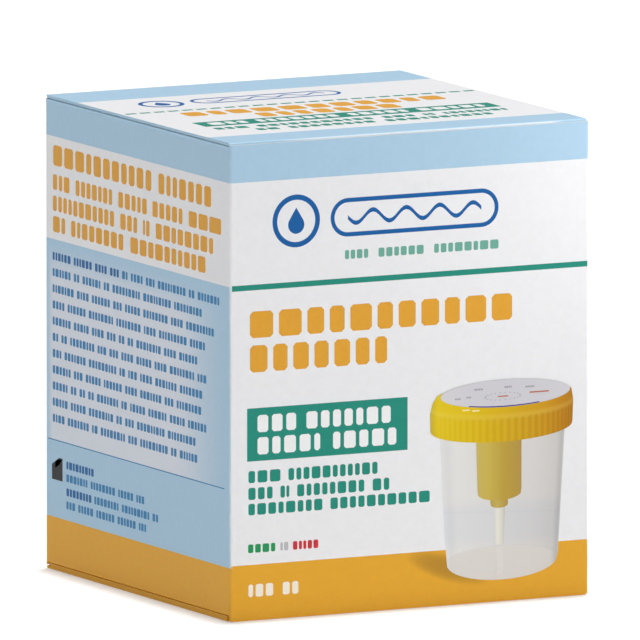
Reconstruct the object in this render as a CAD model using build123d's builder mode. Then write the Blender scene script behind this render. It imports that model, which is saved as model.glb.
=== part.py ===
from build123d import *
from math import asin, cos, pi, sin, sqrt
import os

# A folding carton with a tuck lid, and the screw-capped specimen container that it holds.
# Millimetres. The carton stands on z = 0, centred on the origin, and its front panel faces -Y.

# Card of the carton
board = 0.45
fold_radius = 0.3
fold_stub = 1.0
fold_tail = 0.05
flap_inset = 0.15
flap_shoulder = 1.5
panel_play = 0.05

# Room that the carton leaves around its container
side_room = 1.0
depth_room = 1.6
headroom = 4.2

# Flaps of the carton
glue_flap_length = 12.0
glue_gap = 0.05
glue_width = 6.0
seam_step = 0.3
tab_length = 13.0
tab_play = 0.12
tab_swing_play = 0.34
tab_side_room = 1.0
tab_corner_radius = 7.0
tab_cap_play = 0.35
dust_flap_length = 26.0
dust_flap_taper = 3.0
dust_flap_corner_radius = 4.0
dust_flap_end_room = 1.0
dust_flap_tab_room = 1.8
inner_flap_end_room = 1.0
crease_gap = 0.08

# Cup
cup_wall = 1.0
cup_neck_radius = 28.4
cup_taper = 3.5
cup_taper_height = 56.5
cup_corner_radius = 2.4
cup_foot_ring = 4.8
cup_recess_depth = 3.1
cup_recess_slant = 1.3
cup_recess_corner_radius = 0.8
cup_shoulder_radius = 6.0
cup_rim_radius = 0.3

# Screw cap
container_height = 73.0
cap_height = 14.6
cap_wall = 1.1
cap_thread_room = 1.9
cap_shoulder_width = 3.2
cap_shoulder_height = 4.3
cap_top_thickness = 1.4
rib_count = 72
rib_depth = 0.4
rib_share = 0.5
rim_play = 0.2
plug_length = 2.6
plug_wall = 0.9
plug_play = 0.15

# Tube well and nozzle, moulded with the cap
well_radius = 10.1
well_draft = 0.25
well_wall = 1.0
well_length = 38.0
well_corner_radius = 2.2
hub_radius = 3.2
hub_height = 1.6
spigot_radius = 1.7
spigot_height = 4.0
nozzle_radius = 3.8
nozzle_length = 3.3

# Straw, needle, sleeve and seal
straw_radius = 2.0
straw_wall = 0.6
straw_seat = 2.8
straw_play = 0.05
straw_floor_room = 1.0
needle_radius = 0.5
needle_wall = 0.15
needle_reach = 20.0
needle_point = 2.0
sleeve_wall = 0.8
sleeve_tip_radius = 1.5
sleeve_tip_room = 0.5
seal_margin = 0.4
seal_thickness = 0.12

# Radii that follow from the neck of the cup
cup_foot_radius = cup_neck_radius - cup_taper
cup_recess_radius = cup_foot_radius - cup_foot_ring
cap_inner_radius = cup_neck_radius + cap_thread_room
cap_radius = cap_inner_radius + cap_wall + rib_depth
cap_top_radius = cap_radius - cap_shoulder_width

# Carton sizes that follow from the container
carton_width = 2 * (cap_radius + side_room + board)
carton_depth = 2 * (cap_radius + depth_room + board)
floor_height = 3 * board
carton_height = floor_height + container_height + headroom + 2 * board + panel_play
half_width = carton_width / 2
half_depth = carton_depth / 2
wall_x = half_width - board / 2
wall_y = half_depth - board / 2
glue_flap_x = wall_x - board - glue_gap

# Heights of the card at its folds, each at the middle of the sheet
lid_level = carton_height - board / 2
top_dust_level = lid_level - board - panel_play
outer_flap_level = board / 2
inner_flap_level = outer_flap_level + board
bottom_dust_level = inner_flap_level + board
dust_flap_top = top_dust_level + board / 2
wall_low = bottom_dust_level + fold_radius
wall_high = top_dust_level - fold_radius
front_edge = carton_height - board + crease_gap
fold_outside = fold_radius + board / 2
crease_drop = crease_gap * sqrt(2)

# The tab leans in just enough to swing past the front panel when the lid turns at its crease
tab_reach = carton_depth - board - tab_play
tab_swing = carton_depth - board - tab_swing_play
tab_lean_sine = (tab_length**2 + tab_reach**2 - tab_swing**2) / (2 * tab_length * tab_reach)
tab_lean = asin(tab_lean_sine)

# The container stands clear of the tab, so it is a little nearer to the back panel
tab_inner_face = half_depth - tab_reach + board + tab_length * sin(tab_lean)
container_y = tab_inner_face + tab_cap_play + cap_radius

# Heights inside the container, from the floor of the carton up
cap_top = floor_height + container_height - seal_thickness
cap_bottom = cap_top - cap_height
cap_ceiling = cap_top - cap_top_thickness
cup_rim = cap_ceiling - rim_play
cup_floor_middle = floor_height + cup_recess_depth + cup_wall / 2
cup_floor_top = cup_floor_middle + cup_wall / 2
well_bottom = cap_top - well_length
well_floor = well_bottom + well_wall
hub_top = well_floor + hub_height
spigot_top = hub_top + spigot_height
nozzle_bottom = well_bottom - nozzle_length
straw_top = nozzle_bottom + straw_seat
straw_bottom = cup_floor_top + straw_floor_room
needle_top = hub_top + needle_reach
sleeve_top = needle_top + sleeve_tip_room + sleeve_wall

container = Plane((0, container_y, 0))
container_section = Plane(origin=(0, container_y, 0), x_dir=(1, 0, 0), z_dir=(0, -1, 0))
container_axis = Axis((0, container_y, 0), (0, 0, 1))
groove_width = 2 * pi * cap_radius / rib_count * (1 - rib_share)


# Flaps between their folds
flap_root_x = half_width - fold_outside
flap_root_y = half_depth - fold_outside
dust_flap_end = half_width - dust_flap_length
dust_flap_front = board + dust_flap_tab_room - half_depth
dust_flap_back = half_depth - board - dust_flap_end_room
inner_flap_end = board + inner_flap_end_room - half_depth
tab_middle = board / 2 - half_depth + board + tab_play


def card_strip(points):
    """Edge view of a card that follows these points along its middle."""
    with BuildLine() as middle:
        FilletPolyline(*points, radius=fold_radius)
    return trace(middle.line, line_width=board)


# Carton body: one folded sheet, with its walls, glue flap, dust flaps and glued bottom
with BuildPart() as carton_body:
    # Walls, from the back panel round to the raw edge of the left one
    with BuildSketch(Plane.XY.offset(wall_low)) as walls:
        card_strip(
            [
                (0, wall_y),
                (wall_x, wall_y),
                (wall_x, -wall_y),
                (-wall_x, -wall_y),
                (-wall_x, half_depth - seam_step),
            ]
        )
    extrude(amount=wall_high - wall_low)

    # Glue flap inside the left panel, and the line of glue between them
    with BuildSketch(Plane.XY.offset(wall_low)):
        card_strip(
            [
                (0, wall_y),
                (-glue_flap_x, wall_y),
                (-glue_flap_x, wall_y - glue_flap_length),
            ]
        )
        with Locations((board + glue_gap / 2 - half_width, wall_y - glue_flap_length / 2)):
            Rectangle(glue_gap, glue_width)
    extrude(amount=wall_high - wall_low)

    # The upright folds run on past the ends of the walls, lowest at the front
    for side, foot in ((-1, outer_flap_level), (1, inner_flap_level)):
        with BuildSketch(Plane.XY.offset(foot)):
            add(walls.sketch_local)
            Rectangle(2 * flap_root_x, 2 * carton_depth, mode=Mode.SUBTRACT)
            with Locations((0, side * (flap_root_y - carton_depth))):
                Rectangle(2 * carton_width, 2 * carton_depth, mode=Mode.SUBTRACT)
        extrude(amount=dust_flap_top - foot)

    # Dust flaps fold in from both side panels, at the top and at the bottom
    for level, wall_side in ((top_dust_level, -1), (bottom_dust_level, 1)):
        stub_end = level + wall_side * (fold_radius + fold_stub)
        with BuildSketch(Plane.XZ.offset(-flap_root_y)):
            card_strip([(wall_x, stub_end), (wall_x, level), (flap_root_x - fold_tail, level)])
        fold = extrude(amount=2 * flap_root_y)
        with BuildSketch(Plane.XY.offset(level - board / 2)) as flap_outline:
            with BuildLine():
                Polyline(
                    (flap_root_x, dust_flap_front),
                    (dust_flap_end, dust_flap_front + dust_flap_taper),
                    (dust_flap_end, dust_flap_back - dust_flap_taper),
                    (flap_root_x, dust_flap_back),
                    close=True,
                )
            make_face()
            fillet(flap_outline.vertices().group_by(Axis.X)[0], dust_flap_corner_radius)
        flap = extrude(amount=board)
        mirror([fold, flap], about=Plane.YZ)

    # Bottom flaps of the back and front panels, glued over each other
    with BuildSketch(Plane.YZ):
        card_strip(
            [
                (wall_y, wall_low + fold_stub),
                (wall_y, inner_flap_level),
                (inner_flap_end, inner_flap_level),
            ]
        )
        card_strip(
            [
                (-wall_y, wall_low + fold_stub),
                (-wall_y, outer_flap_level),
                (half_depth - flap_inset, outer_flap_level),
            ]
        )
    extrude(amount=flap_root_x, both=True)

    # Past their shoulders those flaps are nearly as wide as the carton
    with BuildSketch(Plane.YZ):
        with Locations((inner_flap_end, board)):
            Rectangle(half_depth - flap_shoulder - inner_flap_end, board, align=Align.MIN)
        with Locations((flap_shoulder - half_depth, 0)):
            Rectangle(carton_depth - flap_shoulder - flap_inset, board, align=Align.MIN)
    extrude(amount=half_width - flap_inset, both=True)

    # Raw top edge of the front panel and its corners, behind which the tab tucks
    with BuildSketch(Plane.XY.offset(wall_high)):
        add(walls.sketch_local)
        with Locations((0, carton_depth - flap_root_y)):
            Rectangle(2 * carton_width, 2 * carton_depth, mode=Mode.SUBTRACT)
    extrude(amount=front_edge - wall_high)

    # Top of the back panel, mitred at the crease of the lid
    with BuildSketch(Plane.YZ):
        with BuildLine():
            Polyline(
                (half_depth, wall_high),
                (half_depth, carton_height - crease_drop),
                (half_depth - board, carton_height - board - crease_drop),
                (half_depth - board, wall_high),
                close=True,
            )
        make_face()
    extrude(amount=flap_root_x, both=True)
carton_body.part.label = "carton_body"

# Top lid: the panel that turns at the back crease, folded on into the tab behind the front panel
with BuildPart() as top_lid:
    with BuildSketch(Plane.YZ) as lid_section:
        card_strip(
            [
                (half_depth, lid_level),
                (tab_middle, lid_level),
                (tab_middle + tab_length * sin(tab_lean), lid_level - tab_length * cos(tab_lean)),
            ]
        )
        with BuildLine():
            Polyline(
                (half_depth, carton_height),
                (half_depth, carton_height - board),
                (half_depth - board, carton_height - board),
                close=True,
            )
        make_face(mode=Mode.SUBTRACT)
    extrude(amount=half_width - board - tab_side_room, both=True)
    tab_end = top_lid.faces().sort_by(Axis.Z)[0]
    fillet(tab_end.edges().filter_by(Axis.X, reverse=True), tab_corner_radius)

    # The panel and its front fold are wider than the tab, and lie over the dust flaps
    with BuildSketch(Plane.YZ):
        add(lid_section.sketch_local)
        with Locations((0, -board)):
            Rectangle(2 * carton_depth, 2 * carton_height, mode=Mode.SUBTRACT)
    extrude(amount=half_width - flap_inset, both=True)
top_lid.part.label = "top_lid"

# Specimen cup: an even wall, turned from a raised floor through the foot up to the neck
with BuildPart() as specimen_cup:
    with BuildSketch(container_section):
        with BuildLine():
            FilletPolyline(
                (0, cup_floor_middle),
                (cup_recess_radius, cup_floor_middle),
                (cup_recess_radius + cup_recess_slant, floor_height + cup_wall / 2),
                (cup_foot_radius - cup_wall / 2, floor_height + cup_wall / 2),
                (cup_neck_radius - cup_wall / 2, floor_height + cup_taper_height),
                (cup_neck_radius - cup_wall / 2, cup_rim),
                radius=[
                    cup_recess_corner_radius,
                    cup_recess_corner_radius,
                    cup_corner_radius,
                    cup_shoulder_radius,
                ],
            )
        trace(line_width=cup_wall)
    revolve(axis=container_axis)
    fillet(specimen_cup.edges().group_by(Axis.Z)[-1], cup_rim_radius)
specimen_cup.part.label = "specimen_cup"

# Screw cap: top with plug ring, ribbed skirt, and the tube well with its nozzle, moulded in one
with BuildPart() as screw_cap:
    mouth_radius = well_radius - well_wall
    well_foot_radius = well_radius - well_draft
    plug_radius = cup_neck_radius - cup_wall - plug_play
    skirt_top = cap_top - cap_shoulder_height
    with BuildSketch(container_section):
        with BuildLine():
            shoulder = EllipticalCenterArc(
                (cap_top_radius, skirt_top),
                cap_radius - cap_top_radius,
                cap_shoulder_height,
                start_angle=0,
                arc_size=90,
            )
            Polyline(
                shoulder @ 1,
                (mouth_radius, cap_top),
                (mouth_radius, cap_ceiling),
                (cap_inner_radius, cap_ceiling),
                (cap_inner_radius, skirt_top),
                shoulder @ 0,
            )
        make_face()
        with Locations((plug_radius - plug_wall, cap_ceiling - plug_length)):
            Rectangle(plug_wall, plug_length, align=Align.MIN)
        with BuildLine():
            FilletPolyline(
                (mouth_radius, cap_top),
                (well_radius, cap_top),
                (well_foot_radius, well_bottom),
                (needle_radius, well_bottom),
                (needle_radius, spigot_top),
                (spigot_radius, spigot_top),
                (spigot_radius, hub_top),
                (hub_radius, hub_top),
                (hub_radius, well_floor),
                (well_foot_radius - well_wall, well_floor),
                radius=[0, 0, well_corner_radius, 0, 0, 0, 0, 0, 0, well_corner_radius - well_wall],
                close=True,
            )
        make_face()
        with Locations((straw_radius + straw_play, nozzle_bottom)):
            Rectangle(nozzle_radius - straw_radius - straw_play, nozzle_length, align=Align.MIN)
        with Locations((needle_radius, straw_top + straw_play)):
            Rectangle(straw_radius, well_bottom - straw_top - straw_play, align=Align.MIN)
    revolve(axis=container_axis)
    with BuildSketch(container.offset(cap_bottom)):
        Circle(cap_radius)
        with PolarLocations(cap_radius, rib_count):
            Rectangle(2 * rib_depth, groove_width, mode=Mode.SUBTRACT)
        Circle(cap_inner_radius, mode=Mode.SUBTRACT)
    extrude(amount=skirt_top - cap_bottom)
screw_cap.part.label = "screw_cap"

# Suction straw, held in the nozzle and ending just above the floor of the cup
with BuildPart() as suction_straw:
    with BuildSketch(container.offset(straw_bottom)):
        Circle(straw_radius)
        Circle(straw_radius - straw_wall, mode=Mode.SUBTRACT)
    extrude(amount=straw_top - straw_bottom)
suction_straw.part.label = "suction_straw"

# Needle, a steel tube through the floor of the well, ground to a slanted point
with BuildPart() as needle:
    with BuildSketch(container.offset(straw_top + straw_play)):
        Circle(needle_radius)
        Circle(needle_radius - needle_wall, mode=Mode.SUBTRACT)
    extrude(amount=needle_top - straw_top - straw_play)
    with BuildSketch(container_section):
        with BuildLine():
            Polyline(
                (-needle_radius, needle_top),
                (needle_radius, needle_top - needle_point),
                (needle_radius, needle_top),
                close=True,
            )
        make_face()
    extrude(amount=needle_radius, both=True, mode=Mode.SUBTRACT)
needle.part.label = "needle"

# Needle sleeve, a closed rubber tube pushed over the spigot
with BuildPart() as needle_sleeve:
    with BuildSketch(container_section):
        with BuildLine():
            Polyline(
                (spigot_radius, hub_top),
                (spigot_radius + sleeve_wall, hub_top),
                (spigot_radius + sleeve_wall, spigot_top),
                (sleeve_tip_radius, spigot_top + sleeve_wall),
                (sleeve_tip_radius, sleeve_top),
                (0, sleeve_top),
                (0, sleeve_top - sleeve_wall),
                (sleeve_tip_radius - sleeve_wall, sleeve_top - sleeve_wall),
                (sleeve_tip_radius - sleeve_wall, spigot_top),
                (spigot_radius, spigot_top),
                close=True,
            )
        make_face()
    revolve(axis=container_axis)
    fillet(needle_sleeve.edges().group_by(Axis.Z)[-1], sleeve_wall)
needle_sleeve.part.label = "needle_sleeve"

# Paper seal over the mouth of the well
with BuildPart() as paper_seal:
    with BuildSketch(container.offset(cap_top)):
        Circle(cap_top_radius - seal_margin)
    extrude(amount=seal_thickness)
paper_seal.part.label = "paper_seal"

os.makedirs("parts", exist_ok=True)
export_step(carton_body.part, "parts/carton_body.step")
export_step(top_lid.part, "parts/top_lid.step")
export_step(specimen_cup.part, "parts/specimen_cup.step")
export_step(screw_cap.part, "parts/screw_cap.step")
export_step(suction_straw.part, "parts/suction_straw.step")
export_step(needle.part, "parts/needle.step")
export_step(needle_sleeve.part, "parts/needle_sleeve.step")
export_step(paper_seal.part, "parts/paper_seal.step")
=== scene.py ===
import math
import random

import bmesh
import bpy
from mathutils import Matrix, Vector


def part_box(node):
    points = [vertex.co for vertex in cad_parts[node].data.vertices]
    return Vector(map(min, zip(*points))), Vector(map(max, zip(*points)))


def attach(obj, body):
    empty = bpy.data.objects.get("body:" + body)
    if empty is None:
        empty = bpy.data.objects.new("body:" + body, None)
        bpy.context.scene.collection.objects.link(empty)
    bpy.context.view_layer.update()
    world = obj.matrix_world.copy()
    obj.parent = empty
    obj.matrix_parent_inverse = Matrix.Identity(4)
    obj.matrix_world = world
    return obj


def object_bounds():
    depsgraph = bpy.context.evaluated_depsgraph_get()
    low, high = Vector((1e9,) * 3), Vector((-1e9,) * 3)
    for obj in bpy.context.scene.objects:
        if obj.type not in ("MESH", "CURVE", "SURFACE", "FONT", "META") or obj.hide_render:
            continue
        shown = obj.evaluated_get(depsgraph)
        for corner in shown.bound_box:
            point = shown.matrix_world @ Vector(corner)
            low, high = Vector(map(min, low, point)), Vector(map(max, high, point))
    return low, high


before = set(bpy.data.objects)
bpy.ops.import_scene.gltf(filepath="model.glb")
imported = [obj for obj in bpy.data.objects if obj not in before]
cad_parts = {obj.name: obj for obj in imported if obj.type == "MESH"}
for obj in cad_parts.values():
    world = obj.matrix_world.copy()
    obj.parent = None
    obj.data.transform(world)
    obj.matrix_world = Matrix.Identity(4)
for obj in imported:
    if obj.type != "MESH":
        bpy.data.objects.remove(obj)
cad_low, cad_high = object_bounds()
MM = 0.001

# Sizes taken from the frame, in millimetres
body_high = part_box("carton_body")[1] / MM
half_width, half_depth = body_high.x, body_high.y
carton_height = cad_high.z / MM
carton_width, carton_depth = 2 * half_width, 2 * half_depth

# Print of the carton: heights from the top edge and places from the left edge, in millimetres
BLUE_BAND = 6.6
GREEN_LINE_LEVEL = 24.1
GREEN_LINE_WIDTH = 0.92
FRONT_BASE_LEVEL = 70.15
LEFT_BASE_LEVEL = 70.5
LEFT_BLOCK_LEVEL = 23.85
TOP_FRONT_BAND = 8.4
TOP_BACK_BAND = 11.5
TEXT_MARGIN = 3.08
PATCH_BOTTOM_LEVEL = 57.5
INK = 0.015

# Places of the pictured container on the front panel, in millimetres
CUP_TOP, CUP_LEFT, CUP_RIGHT, CUP_MIDDLE = 50.5, 38.72, 62.02, 50.3
CAP_LEFT, CAP_RIGHT, CAP_MIDDLE = 37.0, 63.5, 50.2
PAPER_U, PAPER_V, PAPER_ACROSS, PAPER_ALONG = 50.9, 44.72, 12.05, 2.3
RIBS_ROUND_CAP = 62
DOTS_IN_RING = 22

# The sheet: outer radius of its folds, depth that its printed skin is painted to along the walls
# and among the flaps, heights of the flaps at the bottom and under the lid, and the width of
# print that is carried on to a flap
FOLD_RADIUS = 0.525
SKIN = 0.32
SKIN_AT_ENDS = 1.22
BOTTOM_STACK = 1.5
LID_STACK = 1.1
FLAP_BLEED = 3.0

# Colours of the card and its inks, linear
WHITE = (0.86, 0.86, 0.875)
BLUE = (0.425, 0.622, 0.785)
ORANGE = (0.8, 0.4, 0.03)
TITLE_ORANGE = (0.78, 0.375, 0.036)
GREEN = (0.018, 0.27, 0.2)
PALE_GREEN = (0.16, 0.42, 0.33)
DEEP_BLUE = (0.007, 0.115, 0.37)
TEXT_BLUE = (0.03, 0.22, 0.46)
BOLD_BLUE = (0.01, 0.13, 0.36)
RAW_CARD = (0.72, 0.71, 0.68)
PATCH = (0.8, 0.8, 0.85)
BLACK = (0.02, 0.02, 0.022)
SHEEN = 0.12
PICTURE_ROUGHNESS = 0.42


# Node helpers
class Shader:
    """Short names for the nodes of one material."""

    def __init__(self, name, roughness=0.45):
        self.material = bpy.data.materials.new(name)
        self.material.use_nodes = True
        self.tree = self.material.node_tree
        self.surface = self.tree.nodes["Principled BSDF"]
        self.surface.inputs["Roughness"].default_value = roughness
        self.place = self.tree.nodes.new("ShaderNodeTexCoord")
        self.axes = {}

    def join(self, source, socket):
        """Puts a number, a colour or another socket into this socket."""
        if isinstance(source, bpy.types.NodeSocket):
            self.tree.links.new(source, socket)
        elif isinstance(source, tuple) and len(source) == 3 and socket.type == "RGBA":
            socket.default_value = (*source, 1)
        else:
            socket.default_value = source

    def coordinate(self, axis, space="Object"):
        if space not in self.axes:
            split = self.tree.nodes.new("ShaderNodeSeparateXYZ")
            self.tree.links.new(self.place.outputs[space], split.inputs[0])
            self.axes[space] = split
        return self.axes[space].outputs[axis]

    def math(self, operation, first, second=0.0, third=0.0):
        node = self.tree.nodes.new("ShaderNodeMath")
        node.operation = operation
        for value, socket in zip((first, second, third), node.inputs):
            self.join(value, socket)
        return node.outputs[0]

    def above(self, value, limit):
        return self.math("GREATER_THAN", value, limit)

    def both(self, first, second):
        return self.math("MULTIPLY", first, second)

    def either(self, first, second):
        return self.math("MAXIMUM", first, second)

    def ramp(self, value, start, end, low=0.0, high=1.0):
        """Smooth change from low at start to high at end."""
        node = self.tree.nodes.new("ShaderNodeMapRange")
        node.interpolation_type = "SMOOTHSTEP"
        for number, socket in zip((value, start, end, low, high), node.inputs):
            self.join(number, socket)
        return node.outputs[0]

    def mix(self, share, first, second, blend="MIX"):
        node = self.tree.nodes.new("ShaderNodeMix")
        node.data_type = "RGBA"
        node.blend_type = blend
        self.join(share, node.inputs[0])
        self.join(first, node.inputs[6])
        self.join(second, node.inputs[7])
        return node.outputs[2]

    def noise(self, scale, detail=2.0, roughness=0.5, stretch=None):
        node = self.tree.nodes.new("ShaderNodeTexNoise")
        node.inputs["Scale"].default_value = scale
        node.inputs["Detail"].default_value = detail
        node.inputs["Roughness"].default_value = roughness
        source = self.place.outputs["Object"]
        if stretch:
            mapping = self.tree.nodes.new("ShaderNodeMapping")
            mapping.inputs["Scale"].default_value = stretch
            self.tree.links.new(source, mapping.inputs[0])
            source = mapping.outputs[0]
        self.tree.links.new(source, node.inputs["Vector"])
        return node.outputs[0]

    def colours(self, value, stops):
        node = self.tree.nodes.new("ShaderNodeValToRGB")
        ramp = node.color_ramp
        while len(ramp.elements) < len(stops):
            ramp.elements.new(0.5)
        for element, (position, colour) in zip(ramp.elements, stops):
            element.position = position
            element.color = (*colour, 1)
        self.join(value, node.inputs[0])
        return node.outputs[0]

    def bump(self, height, strength, distance):
        node = self.tree.nodes.new("ShaderNodeBump")
        node.inputs["Strength"].default_value = strength
        node.inputs["Distance"].default_value = distance
        self.join(height, node.inputs["Height"])
        self.join(node.outputs[0], self.surface.inputs["Normal"])

    def set(self, **inputs):
        for name, value in inputs.items():
            self.join(value, self.surface.inputs[name.replace("_", " ")])
        return self


# Card of the carton, coated and printed outside and bare inside
def printed_colour(shader, colour, raw, wear_and_highlight):
    """Mottles a printed colour, lightens it where it is worn and where a highlight is painted on a
    fold, and keeps the raw side apart.
    """
    mottle = shader.ramp(shader.noise(900, 4, 0.6), 0.3, 0.7, 0.985, 1.01)
    colour = shader.mix(1.0, colour, mottle, "MULTIPLY")
    colour = shader.mix(wear_and_highlight, colour, (0.93, 0.93, 0.94))
    fibres = shader.ramp(shader.noise(2600, 3, 0.7, (1, 1, 0.25)), 0.25, 0.75, 0.9, 1.06)
    inside = shader.mix(1.0, RAW_CARD, fibres, "MULTIPLY")
    shader.set(Roughness=shader.math("MULTIPLY_ADD", raw, 0.38, 0.42))
    return coated(shader, shader.mix(raw, colour, inside))


def coated(shader, colour):
    """Ink or print on the coated side of the card."""
    shader.set(Base_Color=colour, Specular_IOR_Level=SHEEN)
    shader.bump(shader.noise(3200, 3, 0.65), 0.06, 0.00002)
    return shader.material


def body_card():
    shader = Shader("carton_card")
    x, y, z = (shader.coordinate(axis) for axis in "XYZ")
    past_side = shader.math("SUBTRACT", shader.math("ABSOLUTE", x), (half_width - FOLD_RADIUS) * MM)
    past_end = shader.math("SUBTRACT", shader.math("ABSOLUTE", y), (half_depth - FOLD_RADIUS) * MM)
    outward = shader.math("MAXIMUM", past_side, past_end)
    corner = shader.math(
        "SQRT",
        shader.math(
            "ADD",
            shader.math("POWER", shader.math("MAXIMUM", past_side, 0.0), 2.0),
            shader.math("POWER", shader.math("MAXIMUM", past_end, 0.0), 2.0),
        ),
    )
    on_corner = shader.math("GREATER_THAN", shader.math("MINIMUM", past_side, past_end), 0.0)
    reach = shader.math("MAXIMUM", outward, shader.both(corner, on_corner))
    among_bottom_flaps = shader.above(BOTTOM_STACK * MM, z)
    among_top_flaps = shader.above(z, (carton_height - LID_STACK) * MM)
    at_end = shader.either(among_bottom_flaps, among_top_flaps)
    deeper = (SKIN - SKIN_AT_ENDS) * MM
    skin = shader.math("MULTIPLY_ADD", at_end, deeper, (FOLD_RADIUS - SKIN) * MM)
    outside = shader.above(reach, skin)

    # The outer side of the sheet is also on top of the dust flaps and under the bottom
    steep = shader.coordinate("Z", "Normal")
    on_top = shader.both(shader.above(steep, 0.2), shader.above(z, 0.9 * carton_height * MM))
    beneath = shader.both(shader.above(-0.2, steep), shader.above(1.3 * MM, z))
    cut_edge = shader.both(on_top, shader.above((0.5 - half_depth) * MM, y))
    raw = shader.math("SUBTRACT", 1.0, shader.either(shader.either(outside, on_top), beneath))
    raw = shader.either(raw, cut_edge)

    # Fields of colour
    down = shader.math("SUBTRACT", carton_height * MM, z)
    left = shader.both(shader.above(past_side, past_end), shader.above(0.0, x))
    colour = shader.mix(shader.above(BLUE_BAND * MM, down), WHITE, BLUE)
    within_bleed = shader.above((half_width - FLAP_BLEED) * MM, shader.math("ABSOLUTE", x))
    flap = shader.both(on_top, within_bleed)
    colour = shader.mix(flap, colour, WHITE)
    block = shader.both(left, shader.above(down, LEFT_BLOCK_LEVEL * MM))
    colour = shader.mix(block, colour, BLUE)

    # Pale field with soft edges behind the small text of the left panel
    from_back = shader.math("SUBTRACT", half_depth * MM, y)
    soft_right = shader.ramp(from_back, 46 * MM, 67 * MM, 1.0, 0.0)
    soft_left = shader.ramp(from_back, 0.0, 3 * MM)
    soft_top = shader.ramp(down, LEFT_BLOCK_LEVEL * MM, 31 * MM)
    soft_end = shader.above(PATCH_BOTTOM_LEVEL * MM, down)
    patch = shader.both(shader.both(soft_right, soft_left), shader.both(soft_top, soft_end))
    colour = shader.mix(shader.both(shader.both(patch, block), 0.8), colour, PATCH)

    lower_on_left = (LEFT_BASE_LEVEL - FRONT_BASE_LEVEL) * MM
    base_level = shader.math("MULTIPLY_ADD", left, lower_on_left, FRONT_BASE_LEVEL * MM)
    colour = shader.mix(shader.above(down, base_level), colour, ORANGE)
    underside = shader.both(shader.above(-0.6, steep), shader.above(FLAP_BLEED * MM, z))
    middle = shader.above(-FLAP_BLEED * MM, shader.math("MAXIMUM", past_side, past_end))
    colour = shader.mix(shader.both(underside, middle), colour, WHITE)

    # Soft shadow that the picture of the container throws on the orange band
    aside = shader.math("ADD", x, (half_width - 40.2) * MM)
    across = shader.math("DIVIDE", aside, 8.5 * MM)
    sloping = shader.math("MULTIPLY_ADD", aside, 0.3, 73.1 * MM)
    along = shader.math("DIVIDE", shader.math("SUBTRACT", down, sloping), 2.6 * MM)
    spread = shader.math("ADD", shader.both(across, across), shader.both(along, along))
    shade = shader.ramp(spread, 0.0, 1.0, 0.6, 0.0)
    on_front = shader.above((0.1 - half_depth) * MM, y)
    on_band = shader.both(shader.above(down, base_level), on_front)
    colour = shader.mix(shader.both(shade, on_band), colour, (0.3, 0.16, 0.02))

    # Upright folds are lightened between the blue and orange bands: partly wear, and partly a
    # painted highlight along each rounded fold
    fold = shader.ramp(shader.math("MINIMUM", past_side, past_end), 0.02 * MM, 0.2 * MM)
    rubbed_and_highlight = shader.ramp(shader.noise(260, 5, 0.7), 0.4, 0.7, 0.3, 0.65)
    rubbed_and_highlight = shader.both(rubbed_and_highlight, shader.ramp(down, 5.5 * MM, 12 * MM, 0.1, 1.0))
    rubbed_and_highlight = shader.both(rubbed_and_highlight, shader.ramp(down, 69.5 * MM, 71.0 * MM, 1.0, 0.04))
    return printed_colour(shader, colour, raw, shader.both(fold, rubbed_and_highlight))


def lid_card():
    shader = Shader("lid_card")
    x, y, z = (shader.coordinate(axis) for axis in "XYZ")
    from_front = shader.math("ADD", y, half_depth * MM)
    depth = shader.math("SUBTRACT", carton_height * MM, z)
    under = shader.above(depth, 0.3 * MM)
    behind = shader.above(from_front, 1.0 * MM)
    inner = shader.above(shader.coordinate("Y", "Normal"), 0.3)
    side_edge = shader.above(shader.math("ABSOLUTE", shader.coordinate("X", "Normal")), 0.6)
    within = shader.either(shader.both(under, behind), inner)
    raw = shader.both(within, shader.math("SUBTRACT", 1.0, side_edge))
    front_band = shader.above(TOP_FRONT_BAND * MM, from_front)
    back_band = shader.above(from_front, (carton_depth - TOP_BACK_BAND) * MM)
    colour = shader.mix(shader.either(shader.either(front_band, back_band), side_edge), WHITE, BLUE)
    colour = shader.mix(shader.above(depth, 2.5 * MM), colour, WHITE)

    # Painted highlight: a white line along the front fold; and light wear at the back crease
    highlight_on_fold = shader.both(shader.above(0.44 * MM, depth), shader.above(depth, 0.1 * MM))
    along = shader.both(
        shader.ramp(x, -half_width * MM + 8 * MM, -half_width * MM + 17 * MM),
        shader.ramp(x, half_width * MM - 7 * MM, half_width * MM - 4 * MM, 1.0, 0.0),
    )
    # line is the painted highlight along the front fold
    line = shader.both(shader.both(highlight_on_fold, along), 0.6)
    back = shader.ramp(from_front, (carton_depth - 0.5) * MM, carton_depth * MM, 0.0, 0.4)
    return printed_colour(shader, colour, raw, shader.either(line, back))


def ink(name, colour):
    """Offset ink: slightly uneven in tone, and as smooth as the coated card."""
    shader = Shader(name, 0.4)
    tone = shader.ramp(shader.noise(1500, 4, 0.6), 0.3, 0.7, 0.98, 1.015)
    return coated(shader, shader.mix(1.0, colour, tone, "MULTIPLY"))


# Printed faces
class Panel:
    """A printed face. u runs to the right and v down from its top left corner, in millimetres."""

    def __init__(self, corner, right, down, body, slot="printed_card"):
        self.corner, self.right, self.down = Vector(corner), Vector(right), Vector(down)
        self.out = self.down.cross(self.right)
        self.body = body
        self.slot = slot

    def at(self, u, v, height):
        return (self.corner + self.right * u + self.down * v + self.out * height) * MM


front = Panel((-half_width, -half_depth, carton_height), (1, 0, 0), (0, 0, -1), "carton")
left = Panel((-half_width, half_depth, carton_height), (0, -1, 0), (0, 0, -1), "carton")
top = Panel((-half_width, half_depth, carton_height), (1, 0, 0), (0, -1, 0), "lid")


def add_object(name, mesh, body, material):
    bmesh.ops.recalc_face_normals(mesh, faces=mesh.faces)
    data = bpy.data.meshes.new(name)
    mesh.to_mesh(data)
    mesh.free()
    piece = bpy.data.objects.new(name, data)
    bpy.context.scene.collection.objects.link(piece)
    data.materials.append(material)
    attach(piece, body)
    return piece


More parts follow.
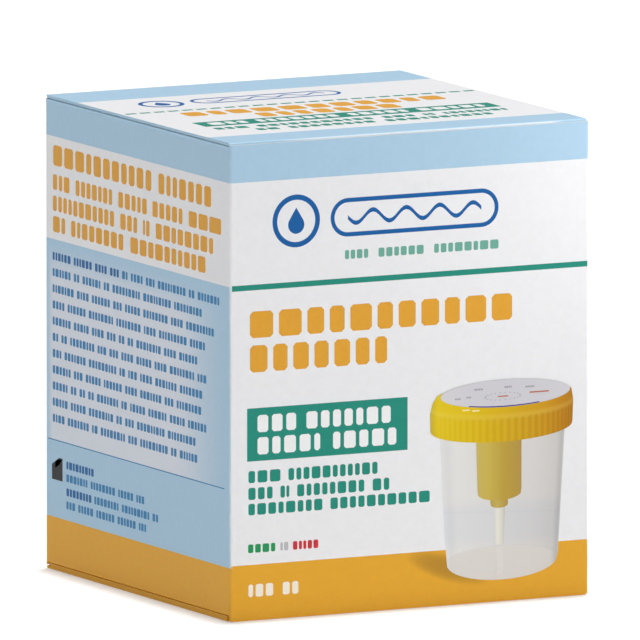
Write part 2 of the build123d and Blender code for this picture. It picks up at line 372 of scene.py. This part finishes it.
def print_on(panel, name, outlines, material, layer=1):
    """Lays flat outlines, each a list of (u, v), on a panel as thin ink."""
    mesh = bmesh.new()
    for outline in outlines:
        low = [mesh.verts.new(panel.at(u, v, (layer - 1) * INK)) for u, v in outline]
        high = [mesh.verts.new(panel.at(u, v, layer * INK)) for u, v in outline]
        mesh.faces.new(low)
        mesh.faces.new(reversed(high))
        for i in range(len(low)):
            mesh.faces.new((low[i - 1], low[i], high[i], high[i - 1]))
    bmesh.ops.triangulate(mesh, faces=[f for f in mesh.faces if len(f.verts) > 4])
    return add_object(name, mesh, panel.body, material)


# Outlines
def rectangle(u0, v0, u1, v1):
    return [(u0, v0), (u1, v0), (u1, v1), (u0, v1)]


def rounded(u0, v0, u1, v1, radius, steps=2):
    """A rectangle with round corners."""
    points = []
    near, far, high, low = u0 + radius, u1 - radius, v0 + radius, v1 - radius
    corners = ((far, low), (near, low), (near, high), (far, high))
    for quarter, (u, v) in enumerate(corners):
        for step in range(steps + 1):
            turn = math.pi / 2 * (quarter + step / steps)
            points.append((u + radius * math.cos(turn), v + radius * math.sin(turn)))
    return points


def arc(u, v, across, along, start, end, steps=24):
    """Points of an elliptic arc. Angles are in degrees, and 90 points down the panel."""
    turns = [math.radians(start + (end - start) * i / steps) for i in range(steps + 1)]
    return [(u + across * math.cos(t), v + along * math.sin(t)) for t in turns]


def band(u, v, across, along, width, start, end, steps=24):
    """A curved stroke along an elliptic arc."""
    outer = arc(u, v, across + width / 2, along + width / 2, start, end, steps)
    inner = arc(u, v, across - width / 2, along - width / 2, start, end, steps)
    return [
        [outer[i], outer[i + 1], inner[i + 1], inner[i]] for i in range(steps)
    ]


def blocks(u0, v0, u1, v1, count, draw):
    """One word as a row of plain blocks, one for each letter, that fill its length."""
    widths = [draw.uniform(0.7, 1.15) for _ in range(count)]
    scale = (u1 - u0) / sum(widths)
    gap = min(0.28 * (u1 - u0) / count, 0.24 * (v1 - v0))
    found, u = [], u0
    for width in widths:
        right = u + width * scale
        found.append(rounded(u + gap / 2, v0, right - gap / 2, v1, 0.12 * (v1 - v0), 1))
        u = right
    return found


def text_line(v0, height, words, draw):
    """words are (start, end, letters)."""
    return [b for u0, u1, count in words for b in blocks(u0, v0, u1, v0 + height, count, draw)]


def filled_line(u0, u1, v0, height, draw, letter=1.15):
    """A line of small print: words of chance length from u0 to u1."""
    found, u = [], u0
    while u < u1 - 2 * letter:
        count = draw.randint(2, 9)
        right = min(u + count * letter, u1)
        found += blocks(u, v0, right, v0 + height, max(1, round((right - u) / letter)), draw)
        u = right + 0.8 * letter
    return found


def drop(u, v, radius, point):
    """A water drop with its point up."""
    lean = math.degrees(math.asin(radius / point))
    return [(u, v - point), *arc(u, v, radius, radius, -lean, 180 + lean, 20)]


def wave(u0, u1, v, rise, width, turns, steps=48):
    """A thin wavy stroke."""
    strip = []
    for i in range(steps):
        pair = []
        for share in (i / steps, (i + 1) / steps):
            pair.append((u0 + (u1 - u0) * share, v + rise * math.sin(2 * math.pi * turns * share)))
        (a, b), (c, d) = pair
        half = width / 2
        strip.append([(a, b - half), (c, d - half), (c, d + half), (a, b + half)])
    return strip


def emblem(u, v, size):
    """The plain mark in the place of a name: a drop in a ring, and a capsule with a wave."""
    ring = band(u + size / 2, v + size / 2, size / 2, size / 2, 0.11 * size, 0, 360, 40)
    found = [*ring, drop(u + size / 2, v + 0.58 * size, 0.19 * size, 0.36 * size)]
    start, end, half = u + 1.35 * size, u + 5.2 * size, 0.36 * size
    middle = v + size / 2
    stroke = 0.09 * size
    found += band(start + half, middle, half, half, stroke, 90, 270, 20)
    found += band(end - half, middle, half, half, stroke, -90, 90, 20)
    for side in (-half, half):
        level = middle + side
        found.append(rectangle(start + half, level - stroke / 2, end - half, level + stroke / 2))
    found += wave(start + half, end - half, middle, 0.13 * size, stroke, 4)
    return found


# Inks
orange_ink = ink("orange_ink", TITLE_ORANGE)
green_ink = ink("green_ink", GREEN)
pale_green_ink = ink("pale_green_ink", PALE_GREEN)
blue_ink = ink("blue_ink", DEEP_BLUE)
text_blue_ink = ink("text_blue_ink", TEXT_BLUE)
bold_blue_ink = ink("bold_blue_ink", BOLD_BLUE)
white_ink = ink("white_ink", (0.9, 0.9, 0.9))
cream_ink = ink("cream_ink", (0.93, 0.86, 0.74))
flag_green_ink = ink("flag_green_ink", (0.02, 0.3, 0.1))
grey_ink = ink("grey_ink", (0.5, 0.5, 0.52))
red_ink = ink("red_ink", (0.6, 0.035, 0.045))
black_ink = ink("black_ink", BLACK)


def print_front():
    draw = random.Random(11)
    print_on(front, "front_emblem", emblem(8.2, 9.6, 7.9), blue_ink)
    tagline = text_line(19.0, 1.5, [(21.0, 25.6, 4), (27.2, 35.9, 6), (37.5, 49.8, 8)], draw)
    print_on(front, "front_tagline", tagline, pale_green_ink)
    middle = GREEN_LINE_WIDTH / 2
    line = rectangle(0.3, GREEN_LINE_LEVEL - middle, carton_width - 0.3, GREEN_LINE_LEVEL + middle)
    print_on(front, "front_green_line", [line], green_ink)
    title = text_line(28.1, 4.4, [(TEXT_MARGIN, 52.7, 11)], draw)
    title += text_line(33.75, 4.45, [(TEXT_MARGIN, 29.5, 7)], draw)
    print_on(front, "front_title", title, orange_ink)
    print_on(front, "front_plate", [rectangle(TEXT_MARGIN, 44.15, 32.76, 52.95)], green_ink)
    plate = text_line(45.35, 2.85, [(4.65, 12.45, 3), (13.7, 29.95, 7)], draw)
    plate += text_line(49.05, 2.85, [(4.65, 16.9, 5), (18.6, 31.0, 5)], draw)
    print_on(front, "front_plate_text", plate, white_ink, 2)
    lines = text_line(54.55, 2.0, [(TEXT_MARGIN, 9.46, 3), (10.5, 27.4, 11)], draw)
    second = [(TEXT_MARGIN, 7.99, 3), (9.1, 11.0, 2), (12.1, 24.95, 8), (26.07, 29.6, 2)]
    lines += text_line(57.35, 2.0, second, draw)
    lines += text_line(60.0, 1.9, [(TEXT_MARGIN, 17.2, 8), (18.25, 37.1, 10)], draw)
    print_on(front, "front_green_text", lines, green_ink)
    words = (
        ("green", TEXT_MARGIN, 8.43, 4, flag_green_ink),
        ("grey", 9.1, 10.77, 2, grey_ink),
        ("red", 11.4, 16.35, 5, red_ink),
    )
    for colour, start, end, letters, tone in words:
        word = text_line(66.75, 1.42, [(start, end, letters)], draw)
        print_on(front, "front_origin_" + colour, word, tone)
    size = text_line(73.4, 2.1, [(TEXT_MARGIN, 8.1, 3), (9.4, 12.76, 2)], draw)
    print_on(front, "front_size_text", size, cream_ink)


def print_left():
    draw = random.Random(23)
    bold = text_line(8.05, 3.4, [(2.5, 39.4, 11), (41.2, 61.15, 7)], draw)
    print_on(left, "left_title", bold, orange_ink)
    first = [(2.5, 9.2, 3), (10.9, 24.9, 7), (26.6, 37.6, 5), (39.1, 50.6, 5), (52.3, 64.7, 3)]
    second = [(2.5, 25.6, 11), (27.3, 34.1, 3), (35.7, 38.5, 2), (40.3, 61.8, 8)]
    words = text_line(12.95, 2.6, first, draw) + text_line(16.5, 2.6, second, draw)
    words += text_line(19.95, 2.65, [(2.5, 7.6, 2), (9.2, 29.0, 8), (31.0, 59.0, 10)], draw)
    print_on(left, "left_lines", words, orange_ink)

    ends = (63.8, 59.4, 62.4, 60.5, 55.8, 59.1, 57.6, 58.5, 61.6, 56.5, 55.8)
    first_level, pitch, height = 26.0, 2.72, 1.35
    bold_end = 27.2
    heading = filled_line(2.5, bold_end, first_level, height, draw)
    print_on(left, "left_small_bold", heading, bold_blue_ink)
    small = filled_line(bold_end + 0.9, ends[0], first_level, height, draw)
    for i, end in enumerate(ends[1:], 1):
        small += filled_line(2.5, end, first_level + i * pitch, height, draw)
    print_on(left, "left_small_text", small, text_blue_ink)
    rule = rectangle(0.9, PATCH_BOTTOM_LEVEL - 0.05, 65.5, PATCH_BOTTOM_LEVEL + 0.12)
    print_on(left, "left_rule", [rule], text_blue_ink)

    # A plain stepped block in the place of a sign
    steps = [(2.3, 61.7), (3.5, 61.2), (3.5, 62.2), (4.9, 61.6), (4.9, 60.4), (6.2, 60.4)]
    print_on(left, "left_block_mark", [[(2.3, 64.2), *steps, (6.2, 64.2)]], black_ink)
    notes = filled_line(7.5, 36.4, 62.75, 1.3, draw) + filled_line(17.8, 41.5, 65.1, 1.3, draw)
    notes += filled_line(7.5, 37.1, 67.3, 1.3, draw)
    print_on(left, "left_notes", notes, text_blue_ink)
    heads = filled_line(7.5, 19.2, 60.6, 1.3, draw) + filled_line(7.5, 17.0, 65.1, 1.3, draw)
    print_on(left, "left_note_heads", heads, bold_blue_ink)


def print_top():
    draw = random.Random(37)
    deep = carton_depth
    print_on(top, "top_emblem", emblem(8.3, deep - 51.9, 7.0), blue_ink)
    pitch, dash, level = 2.62, 1.87, deep - 39.8
    dashes = []
    u = 0.9
    while u < carton_width - 1.0:
        dashes.append(rectangle(u, level - 0.5, min(u + dash, carton_width - 0.8), level + 0.5))
        u += pitch
    print_on(top, "top_dashes", dashes, green_ink)
    title = text_line(deep - 37.1, 4.5, [(8.7, 57.7, 11)], draw)
    title += text_line(deep - 31.4, 4.5, [(19.6, 46.5, 7)], draw)
    print_on(top, "top_title", title, orange_ink)
    print_on(top, "top_plate", [rectangle(5.8, deep - 25.4, 60.7, deep - 20.2)], green_ink)
    words = [(7.4, 14.9, 3), (16.3, 31.7, 7), (33.4, 44.6, 5), (46.2, 58.9, 5)]
    print_on(top, "top_plate_text", text_line(deep - 24.2, 2.8, words, draw), white_ink, 2)
    words = [(5.7, 12.2, 3), (13.6, 35.2, 11), (36.9, 43.0, 3), (44.5, 46.7, 2), (48.2, 60.2, 8)]
    lines = text_line(deep - 18.3, 2.2, words, draw)
    lines += text_line(deep - 14.6, 2.2, [(11.6, 16.0, 2), (17.6, 33.8, 8), (35.5, 55.6, 10)], draw)
    print_on(top, "top_green_text", lines, green_ink)


# Picture of the container on the front panel
def front_places(shader):
    """Places across and down the front panel, in millimetres."""
    across = shader.math("ADD", shader.coordinate("X"), half_width * MM)
    down = shader.math("SUBTRACT", carton_height * MM, shader.coordinate("Z"))
    return shader.math("DIVIDE", across, MM), shader.math("DIVIDE", down, MM)


def tint(name, stops, low, high):
    """A picture tone that changes from left to right between two places of the front panel."""
    shader = Shader(name, PICTURE_ROUGHNESS)
    u, _ = front_places(shader)
    share = shader.math("DIVIDE", shader.math("SUBTRACT", u, low), high - low)
    return coated(shader, shader.colours(share, stops))


def cup_tone():
    """Pictured cup: greys from side to side, a bluish lower part and a warm foot."""
    shader = Shader("picture_cup", PICTURE_ROUGHNESS)
    u, v = front_places(shader)
    below = shader.math("SUBTRACT", v, CUP_TOP)
    left_edge = shader.math("MULTIPLY_ADD", below, 0.0575, CUP_LEFT)
    width = shader.math("MULTIPLY_ADD", below, -0.1175, CUP_RIGHT - CUP_LEFT)
    share = shader.math("DIVIDE", shader.math("SUBTRACT", u, left_edge), width)
    stops = [
        (0.0, (0.78, 0.775, 0.78)),
        (0.05, (0.74, 0.73, 0.72)),
        (0.12, (0.79, 0.775, 0.755)),
        (0.4, (0.745, 0.73, 0.715)),
        (0.75, (0.70, 0.675, 0.655)),
        (0.94, (0.63, 0.605, 0.585)),
        (0.985, (0.5, 0.485, 0.47)),
        (1.0, (0.6, 0.59, 0.58)),
    ]
    colour = shader.colours(share, stops)
    cool = shader.both(shader.ramp(v, 61.5, 64.5), shader.ramp(v, 68.0, 71.0, 1.0, 0.0))
    colour = shader.mix(cool, colour, shader.mix(1.0, colour, (0.93, 0.955, 0.99), "MULTIPLY"))

    # Raised floor and foot
    du = shader.math("DIVIDE", shader.math("SUBTRACT", u, CUP_MIDDLE), 9.7)
    dv = shader.math("DIVIDE", shader.math("MINIMUM", shader.math("SUBTRACT", v, 72.0), 0.0), 1.9)
    ring = shader.math("ADD", shader.both(du, du), shader.both(dv, dv))
    foot = shader.ramp(ring, 0.8, 1.12, 0.75, 0.0)
    colour = shader.mix(foot, colour, (0.71, 0.675, 0.63))
    from_ring = shader.math("ABSOLUTE", shader.math("SUBTRACT", ring, 1.0))
    edge = shader.ramp(from_ring, 0.0, 0.16, 0.1, 0.0)
    colour = shader.mix(edge, colour, (0.4, 0.39, 0.38))

    # Faint filling line
    level = shader.math("MULTIPLY_ADD", shader.math("SUBTRACT", u, CUP_LEFT), 0.05, 63.9)
    from_line = shader.math("ABSOLUTE", shader.math("SUBTRACT", v, level))
    line = shader.ramp(from_line, 0.0, 0.3, 0.07, 0.0)
    return coated(shader, shader.mix(line, colour, (0.4, 0.4, 0.42)))


def cap_tone():
    """Pictured cap: yellow that deepens to the right, with soft ribs round its skirt."""
    shader = Shader("picture_cap", PICTURE_ROUGHNESS)
    u, v = front_places(shader)
    share = shader.math("DIVIDE", shader.math("SUBTRACT", u, CAP_LEFT), CAP_RIGHT - CAP_LEFT)
    stops = [
        (0.0, (0.62, 0.45, 0.03)),
        (0.05, (0.79, 0.58, 0.012)),
        (0.3, (0.75, 0.51, 0.006)),
        (0.55, (0.68, 0.42, 0.01)),
        (0.8, (0.62, 0.32, 0.01)),
        (0.95, (0.52, 0.22, 0.008)),
        (1.0, (0.45, 0.2, 0.01)),
    ]
    colour = shader.colours(share, stops)
    side = shader.math("DIVIDE", shader.math("SUBTRACT", u, CAP_MIDDLE), 13.3)
    side = shader.math("MAXIMUM", shader.math("MINIMUM", side, 1.0), -1.0)
    turn = shader.math("ARCSINE", side)
    bow = shader.math("SQRT", shader.math("SUBTRACT", 1.0, shader.both(side, side)))
    ribs = shader.math("COSINE", shader.math("MULTIPLY", turn, RIBS_ROUND_CAP))
    wave_height = shader.math("MULTIPLY_ADD", ribs, 0.5, 0.5)
    start = shader.math("MULTIPLY_ADD", bow, 2.2, 46.4)
    ribbed = shader.ramp(shader.math("SUBTRACT", v, start), 0.0, 0.5)
    strength = shader.ramp(share, 0.0, 0.8, 0.2, 0.5)
    valley = shader.both(shader.both(wave_height, ribbed), strength)
    colour = shader.mix(valley, colour, shader.mix(1.0, colour, (0.72, 0.66, 0.6), "MULTIPLY"))
    from_shoulder = shader.math("ABSOLUTE", shader.math("SUBTRACT", v, start))
    shoulder = shader.ramp(from_shoulder, 0.0, 0.8, 0.16, 0.0)
    return coated(shader, shader.mix(shoulder, colour, (0.86, 0.72, 0.16)))


def picture():
    cup = [
        (CUP_LEFT, CUP_TOP),
        (39.66, 68.3),
        (40.05, 72.2),
        *arc(CUP_MIDDLE, 72.6, 10.25, 3.2, 172, 8, 20),
        (60.75, 71.6),
        (CUP_RIGHT, CUP_TOP),
    ]
    print_on(front, "picture_cup", [cup], cup_tone(), 1)

    # Straw, nozzle and tube well
    straw_stops = [
        (0.0, (0.74, 0.72, 0.66)),
        (0.35, (0.82, 0.8, 0.73)),
        (0.75, (0.72, 0.69, 0.62)),
        (1.0, (0.55, 0.52, 0.46)),
    ]
    straw = [(48.76, 63.2), (50.9, 63.2), (50.64, 69.9), (49.16, 69.9)]
    print_on(front, "picture_straw", [straw], tint("picture_straw", straw_stops, 48.8, 50.9), 2)
    faint_straw = [(49.2, 70.2), (50.55, 70.2), (50.4, 75.0), (49.4, 75.0)]
    faint_tone = ink("picture_faint_straw", (0.75, 0.72, 0.675))
    print_on(front, "picture_faint_straw", [faint_straw], faint_tone, 2)
    well_stops = [
        (0.0, (0.6, 0.47, 0.12)),
        (0.25, (0.61, 0.46, 0.085)),
        (0.6, (0.52, 0.35, 0.05)),
        (1.0, (0.47, 0.3, 0.06)),
    ]
    well_tone = tint("picture_well", well_stops, 45.5, 53.9)
    well_foot = arc(49.84, 61.2, 4.1, 1.35, 165, 15, 16)
    well = [(45.47, 51.5), (45.75, 60.6), *well_foot, (53.93, 60.6), (53.93, 51.5)]
    nozzle_end = arc(49.8, 63.2, 1.6, 0.6, 180, 0, 10)
    nozzle = [(48.1, 62.0), (48.2, 63.2), *nozzle_end, (51.4, 63.2), (51.44, 62.0)]
    nozzle_stops = [(0.0, (0.5, 0.37, 0.08)), (0.4, (0.58, 0.43, 0.1)), (1.0, (0.45, 0.29, 0.06))]
    print_on(front, "picture_nozzle", [nozzle], tint("picture_nozzle", nozzle_stops, 48.1, 51.4), 3)
    print_on(front, "picture_well", [well], well_tone, 4)

    # Cap with its ribbed skirt
    cap = [
        (CAP_LEFT, 50.3),
        (CAP_LEFT - 0.05, 47.4),
        (37.4, 45.6),
        (38.3, 44.4),
        (39.2, 44.0),
        *arc(PAPER_U, PAPER_V, PAPER_ACROSS - 0.3, PAPER_ALONG - 0.2, 190, 345, 24),
        (63.2, 44.6),
        (63.55, 46.6),
        (63.4, 50.1),
        *arc(CAP_MIDDLE, 50.3, 13.15, 2.5, 4, 176, 28),
    ]
    print_on(front, "picture_cap", [cap], cap_tone(), 5)

    # Paper seal on the cap, with generic marks
    paper_stops = [(0.0, (0.68, 0.66, 0.69)), (0.5, (0.63, 0.62, 0.66)), (1.0, (0.64, 0.63, 0.66))]
    paper_tone = tint("picture_paper", paper_stops, 39.0, 63.0)
    paper = arc(PAPER_U, PAPER_V, PAPER_ACROSS, PAPER_ALONG, 0, 351, 39)
    print_on(front, "picture_paper", [paper], paper_tone, 6)
    arc_tone = ink("picture_arc", (0.06, 0.06, 0.3))
    arc_line = band(PAPER_U, PAPER_V, PAPER_ACROSS - 0.15, PAPER_ALONG - 0.13, 0.2, 58, 125)
    print_on(front, "picture_arc", arc_line, arc_tone, 7)
    mark_tone = ink("picture_marks", (0.36, 0.36, 0.41))
    marks = []
    draw = random.Random(5)
    words = (
        (45.1, 43.65, 1.6),
        (50.7, 43.55, 1.4),
        (54.6, 43.75, 1.7),
        (41.5, 45.0, 1.1),
        (43.6, 44.85, 0.9),
    )
    for u, v, length in words:
        marks += blocks(u, v, u + length, v + 0.3, 4, draw)
    for i in range(DOTS_IN_RING):
        turn = 2 * math.pi * i / DOTS_IN_RING
        u, v = 50.4 + 3.3 * math.cos(turn), 45.2 + 0.62 * math.sin(turn)
        marks.append(rectangle(u - 0.14, v - 0.05, u + 0.14, v + 0.05))
    print_on(front, "picture_marks", marks, mark_tone, 7)
    red_lines = [rectangle(55.4, 44.75, 59.0, 44.98), rectangle(49.5, 45.1, 51.4, 45.3)]
    print_on(front, "picture_red_line", red_lines, ink("picture_red", (0.5, 0.16, 0.1)), 7)
    glints = [rounded(42.9, 46.98, 44.3, 47.2, 0.1), rounded(44.7, 47.2, 46.1, 47.42, 0.1)]
    print_on(front, "picture_glint", glints, ink("picture_glint", (0.93, 0.83, 0.45)), 6)


def print_seal():
    """Generic marks on the paper seal: a ring of dots, rows of blocks, two red bars and an arc."""
    low_corner, high_corner = (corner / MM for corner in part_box("paper_seal"))
    radius = (high_corner.x - low_corner.x) / 2
    corner = (low_corner.x, high_corner.y, high_corner.z)
    seal = Panel(corner, (1, 0, 0), (0, -1, 0), "cap", "seal_paper")
    dots = []
    for i in range(DOTS_IN_RING):
        turn = 2 * math.pi * i / DOTS_IN_RING
        u, v = radius * (1 + 0.3 * math.cos(turn)), radius * (1 + 0.3 * math.sin(turn))
        dots.append(rounded(u - 0.5, v - 0.5, u + 0.5, v + 0.5, 0.4, 3))
    draw = random.Random(41)
    upper = [(0.62 * radius, 0.98 * radius, 6), (1.04 * radius, 1.36 * radius, 5)]
    words = text_line(0.42 * radius, 1.3, upper, draw)
    words += text_line(1.5 * radius, 1.3, [(0.7 * radius, 1.3 * radius, 9)], draw)
    print_on(seal, "seal_marks", dots + words, ink("seal_grey_ink", (0.36, 0.36, 0.41)))
    curve = band(radius, radius, 0.93 * radius, 0.93 * radius, 0.7, 40, 140, 40)
    print_on(seal, "seal_arc", curve, ink("seal_blue_ink", (0.06, 0.06, 0.3)))
    middle_bar = rectangle(0.9 * radius, radius - 0.6, 1.1 * radius, radius + 0.6)
    side_bar = rectangle(1.45 * radius, radius - 0.5, 1.75 * radius, radius + 0.5)
    print_on(seal, "seal_red_bars", [middle_bar, side_bar], ink("seal_red_ink", (0.5, 0.16, 0.1)))


# Materials of the container
def plastic(name, colour, roughness, clear=0.0, tint_noise=0.04):
    shader = Shader(name, roughness)
    tone = shader.ramp(shader.noise(140, 3, 0.5), 0.3, 0.7, 1 - tint_noise, 1 + tint_noise)
    shader.set(Base_Color=shader.mix(1.0, colour, tone, "MULTIPLY"))
    shader.set(Transmission_Weight=clear, IOR=1.49)
    shader.bump(shader.noise(2200, 3, 0.6), 0.12, 0.00002)
    return shader.material


def steel():
    shader = Shader("needle_steel", 0.24)
    shader.set(Base_Color=(0.74, 0.74, 0.76), Metallic=1.0)
    shader.bump(shader.noise(6000, 2, 0.5, (1, 1, 0.04)), 0.15, 0.00001)
    return shader.material


def seal_paper():
    shader = Shader("seal_paper", 0.5)
    fibres = shader.ramp(shader.noise(1800, 4, 0.65), 0.3, 0.7, 0.94, 1.03)
    shader.set(Base_Color=shader.mix(1.0, (0.82, 0.82, 0.85), fibres, "MULTIPLY"))
    shader.bump(shader.noise(2600, 3, 0.6), 0.15, 0.00002)
    return shader.material


def finish_node(node, material):
    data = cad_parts[node].data
    data.materials.clear()
    data.materials.append(material)


finish_node("carton_body", body_card())
finish_node("top_lid", lid_card())
finish_node("specimen_cup", plastic("cup_plastic", (0.93, 0.94, 0.94), 0.34, 0.75, 0.015))
finish_node("screw_cap", plastic("cap_plastic", (0.78, 0.52, 0.016), 0.33))
finish_node("suction_straw", plastic("straw_plastic", (0.86, 0.85, 0.79), 0.4, 0.2))
finish_node("needle", steel())
finish_node("needle_sleeve", plastic("sleeve_rubber", (0.62, 0.6, 0.55), 0.7))
finish_node("paper_seal", seal_paper())
print_front()
print_left()
print_top()
picture()
print_seal()


# Floor, light and camera
def add_floor():
    bpy.ops.mesh.primitive_plane_add(size=60.0, location=(0, 0, 0))
    floor = bpy.context.object
    floor.name = "floor"
    shader = Shader("floor_paper", 0.9)
    tone = shader.ramp(shader.noise(18, 3, 0.5), 0.3, 0.7, 0.73, 0.75)
    shader.set(Base_Color=shader.mix(1.0, (1.0, 1.0, 1.0), tone, "MULTIPLY"))
    shader.set(Specular_IOR_Level=0.0, Emission_Color=(1.0, 1.0, 1.0), Emission_Strength=0.31)
    floor.data.materials.append(shader.material)


def add_light(name, place, aim, size, power):
    light = bpy.data.lights.new(name, "AREA")
    light.shape = "SQUARE"
    light.size = size
    light.energy = power
    lamp = bpy.data.objects.new(name, light)
    bpy.context.scene.collection.objects.link(lamp)
    lamp.location = place
    lamp.rotation_mode = "QUATERNION"
    lamp.rotation_quaternion = (Vector(aim) - Vector(place)).to_track_quat("-Z", "Y")
    lamp.visible_camera = False


def add_sun(name, place, power, spread):
    """A large soft light from a far place. The spread is its width in degrees."""
    light = bpy.data.lights.new(name, "SUN")
    light.energy = power
    light.angle = math.radians(spread)
    lamp = bpy.data.objects.new(name, light)
    bpy.context.scene.collection.objects.link(lamp)
    lamp.rotation_mode = "QUATERNION"
    lamp.rotation_quaternion = (-Vector(place)).to_track_quat("-Z", "Y")


def add_world(dome, horizon):
    """A dim dome over a bright horizon."""
    world = bpy.data.worlds.new("studio")
    world.use_nodes = True
    tree = world.node_tree
    background = tree.nodes["Background"]
    place = tree.nodes.new("ShaderNodeTexCoord")
    split = tree.nodes.new("ShaderNodeSeparateXYZ")
    fade = tree.nodes.new("ShaderNodeMapRange")
    fade.interpolation_type = "SMOOTHSTEP"
    for number, socket in zip((0.05, 0.18, horizon, dome), fade.inputs[1:5]):
        socket.default_value = number
    tree.links.new(place.outputs["Generated"], split.inputs[0])
    tree.links.new(split.outputs["Z"], fade.inputs[0])
    tree.links.new(fade.outputs[0], background.inputs["Strength"])
    background.inputs["Color"].default_value = (1.0, 1.0, 1.0, 1.0)
    bpy.context.scene.world = world


def add_camera():
    """A very long lens, at the place that puts the carton's corners where they are seen."""
    azimuth, elevation = math.radians(-27.175), math.radians(8.162)
    distance, lens, aside, aloft = 4.717, 1600.0, 0.0005972, 0.004008
    level = Vector((math.sin(azimuth), -math.cos(azimuth), 0))
    back = level * math.cos(elevation) + Vector((0, 0, math.sin(elevation)))
    right = Vector((math.cos(azimuth), math.sin(azimuth), 0))
    aim = Vector((0, 0, carton_height / 2 * MM)) + right * aside + back.cross(right) * aloft
    data = bpy.data.cameras.new("camera")
    data.lens = lens
    data.clip_start, data.clip_end = 0.5, 20.0
    camera = bpy.data.objects.new("camera", data)
    bpy.context.scene.collection.objects.link(camera)
    camera.location = aim + back * distance
    camera.rotation_mode = "QUATERNION"
    camera.rotation_quaternion = (-back).to_track_quat("-Z", "Y")
    bpy.context.scene.camera = camera


add_floor()
add_sun("overhead", (0.03, -0.03, 1.0), 1.0, 50)
add_sun("contact", (0.028, 0.028, 1.0), 2.1, 3.4)
add_sun("fill", (0.3, -1.0, 0.15), 0.58, 30)
add_light("key", (0.06, -0.07, 0.086), (0.033, -0.034, 0.074), 0.045, 0.0105)
add_world(0.07, 1.0)
add_camera()
bpy.context.scene.view_settings.view_transform = "Standard"
